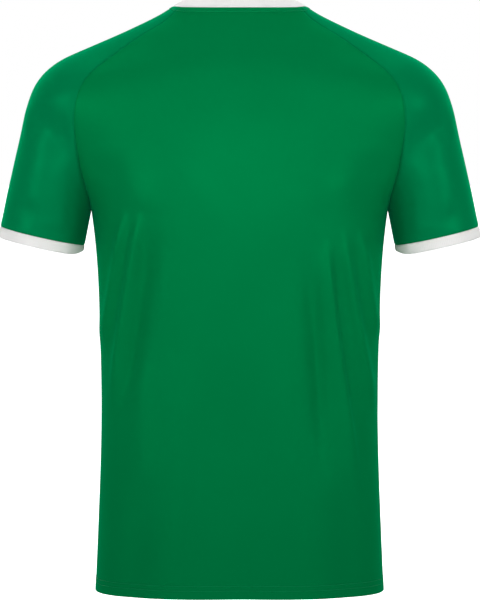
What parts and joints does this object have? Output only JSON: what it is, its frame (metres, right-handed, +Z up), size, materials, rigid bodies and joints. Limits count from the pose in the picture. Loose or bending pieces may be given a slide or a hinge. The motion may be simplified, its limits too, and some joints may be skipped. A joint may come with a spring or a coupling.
{
  "type": "football jersey",
  "caption": "Short-sleeved knitted football shirt with raglan sleeves, ribbed round collar and cuffs, filled out and hollow as worn, with neck, cuffs and hem open.",
  "frame": {"origin": "centre of the neck at the height where the neckline lies on the shoulders, where the wearer holds the shirt up", "axes": "+Z up, +X towards the wearer's left, -Y out of the front and +Y out of the back"},
  "size_m": [0.5964, 0.25, 0.7363],
  "materials": {
    "body_knit": "smooth satin polyester knit",
    "sleeve_knit": "smooth satin polyester knit",
    "rib_knit": "fine white rib knit"
  },
  "bodies": {
    "root": {"back_panel": "body_knit", "front_panel": "body_knit", "sleeve_left": "sleeve_knit", "sleeve_right": "sleeve_knit", "collar": "rib_knit", "cuff_left": "rib_knit", "cuff_right": "rib_knit"}
  },
  "joints": []
}
